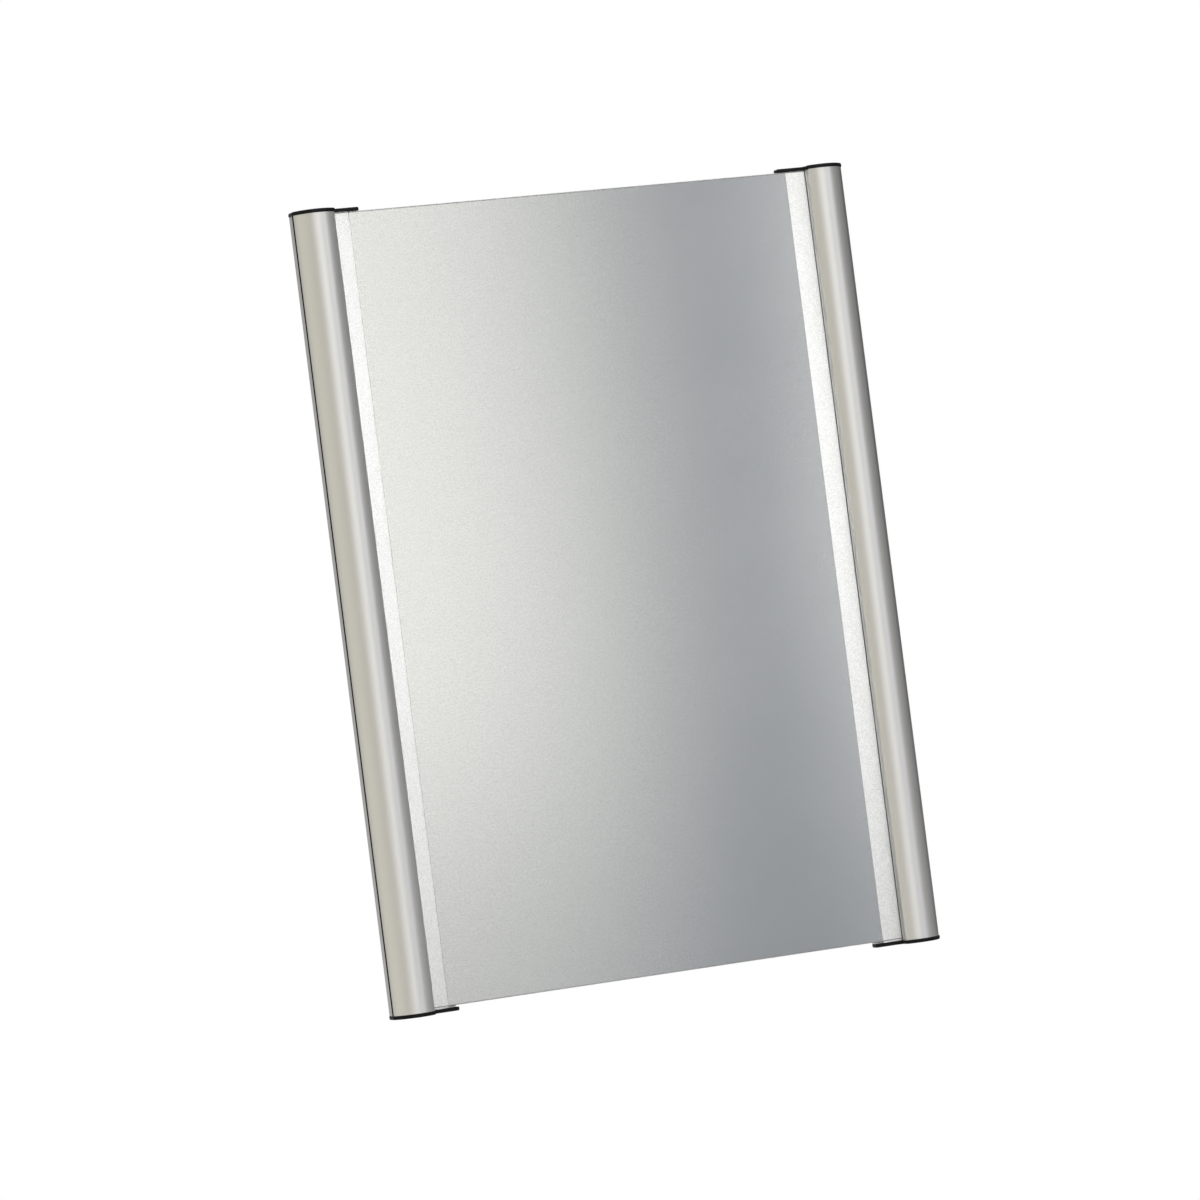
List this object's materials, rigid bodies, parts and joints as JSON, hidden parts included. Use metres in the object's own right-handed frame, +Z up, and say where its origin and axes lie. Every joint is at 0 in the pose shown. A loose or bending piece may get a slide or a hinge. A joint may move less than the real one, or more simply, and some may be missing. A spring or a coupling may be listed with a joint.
{
  "type": "door sign frame",
  "caption": "Slim portrait door sign frame: curved aluminium side profiles, plain back plate, clear matt slide-in cover, black moulded end caps and stick-on mounting tape.",
  "frame": {"origin": "middle of the wall plane that the two mounting tapes stick to", "axes": "+Z up the sign, +X to its right side seen from the front, +Y into the wall, so the front faces -Y"},
  "size_m": [0.2222, 0.0114, 0.2998],
  "materials": {
    "anodised_profile": "natural satin anodised extrusion",
    "plate": "fine matt anodised sheet",
    "clear_cover": "clear plastic sheet with a fine anti-glare front",
    "end_cap": "black moulded plastic, soft gloss",
    "bonding_tape": "thin translucent transfer tape",
    "foam_tape": "white double-sided foam tape"
  },
  "bodies": {
    "frame": {"left_side_profile": "anodised_profile", "right_side_profile": "anodised_profile", "back_plate": "plate", "left_plate_tape": "bonding_tape", "right_plate_tape": "bonding_tape", "left_mounting_tape": "foam_tape", "right_mounting_tape": "foam_tape"},
    "cover": {"front_cover": "clear_cover"},
    "top_left_cap": {"top_left_end_cap": "end_cap"},
    "top_right_cap": {"top_right_end_cap": "end_cap"},
    "bottom_left_cap": {"bottom_left_end_cap": "end_cap"},
    "bottom_right_cap": {"bottom_right_end_cap": "end_cap"}
  },
  "joints": [
    {"name": "cover_slide", "type": "slide", "parent": "frame", "child": "cover", "axis": [0, 0, 1], "range_m": [0, 0.3]},
    {"name": "top_left_cap_pull", "type": "slide", "parent": "frame", "child": "top_left_cap", "axis": [0, 0, 1], "range_m": [0, 0.3]},
    {"name": "top_right_cap_pull", "type": "slide", "parent": "frame", "child": "top_right_cap", "axis": [0, 0, 1], "range_m": [0, 0.3]},
    {"name": "bottom_left_cap_pull", "type": "slide", "parent": "frame", "child": "bottom_left_cap", "axis": [0, 0, -1], "range_m": [0, 0.02]},
    {"name": "bottom_right_cap_pull", "type": "slide", "parent": "frame", "child": "bottom_right_cap", "axis": [0, 0, -1], "range_m": [0, 0.02]}
  ],
  "couplings": [
    {"joint": "top_left_cap_pull", "follows": "cover_slide", "ratio": 1},
    {"joint": "top_right_cap_pull", "follows": "cover_slide", "ratio": 1}
  ]
}
